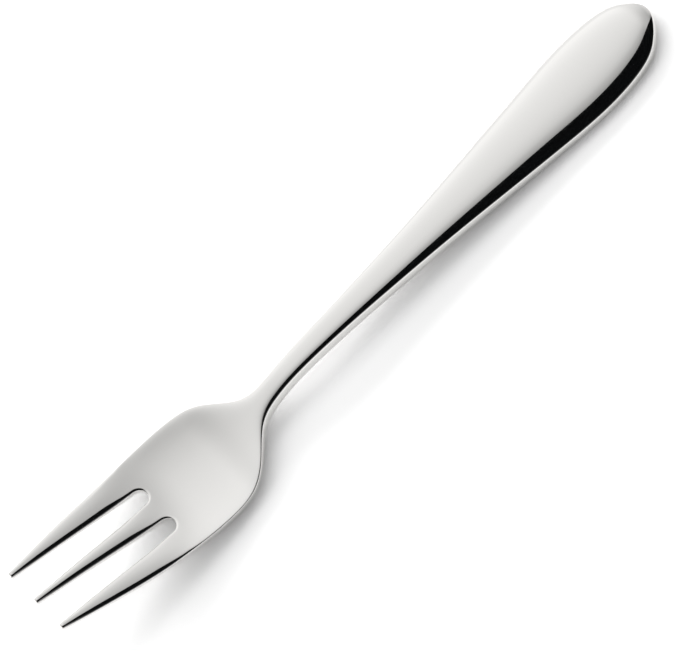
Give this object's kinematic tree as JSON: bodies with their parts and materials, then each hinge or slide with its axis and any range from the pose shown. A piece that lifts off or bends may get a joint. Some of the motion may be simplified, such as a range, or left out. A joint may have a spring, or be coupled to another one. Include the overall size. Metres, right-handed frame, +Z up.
{
  "type": "pastry fork",
  "caption": "Polished steel pastry fork with tapered tines, a shallow cupped palm, a slim arched neck and a widening domed handle with a round end.",
  "frame": {"origin": "middle of the fork's outer box, on the surface that it lies on", "axes": "+X along the fork from the tine tips to the end of the handle, +Z up out of the hollow side of the palm"},
  "size_m": [0.15, 0.023, 0.0119],
  "materials": {
    "polished_steel": "mirror-polished stainless steel"
  },
  "bodies": {
    "root": {"fork": "polished_steel"}
  },
  "joints": []
}
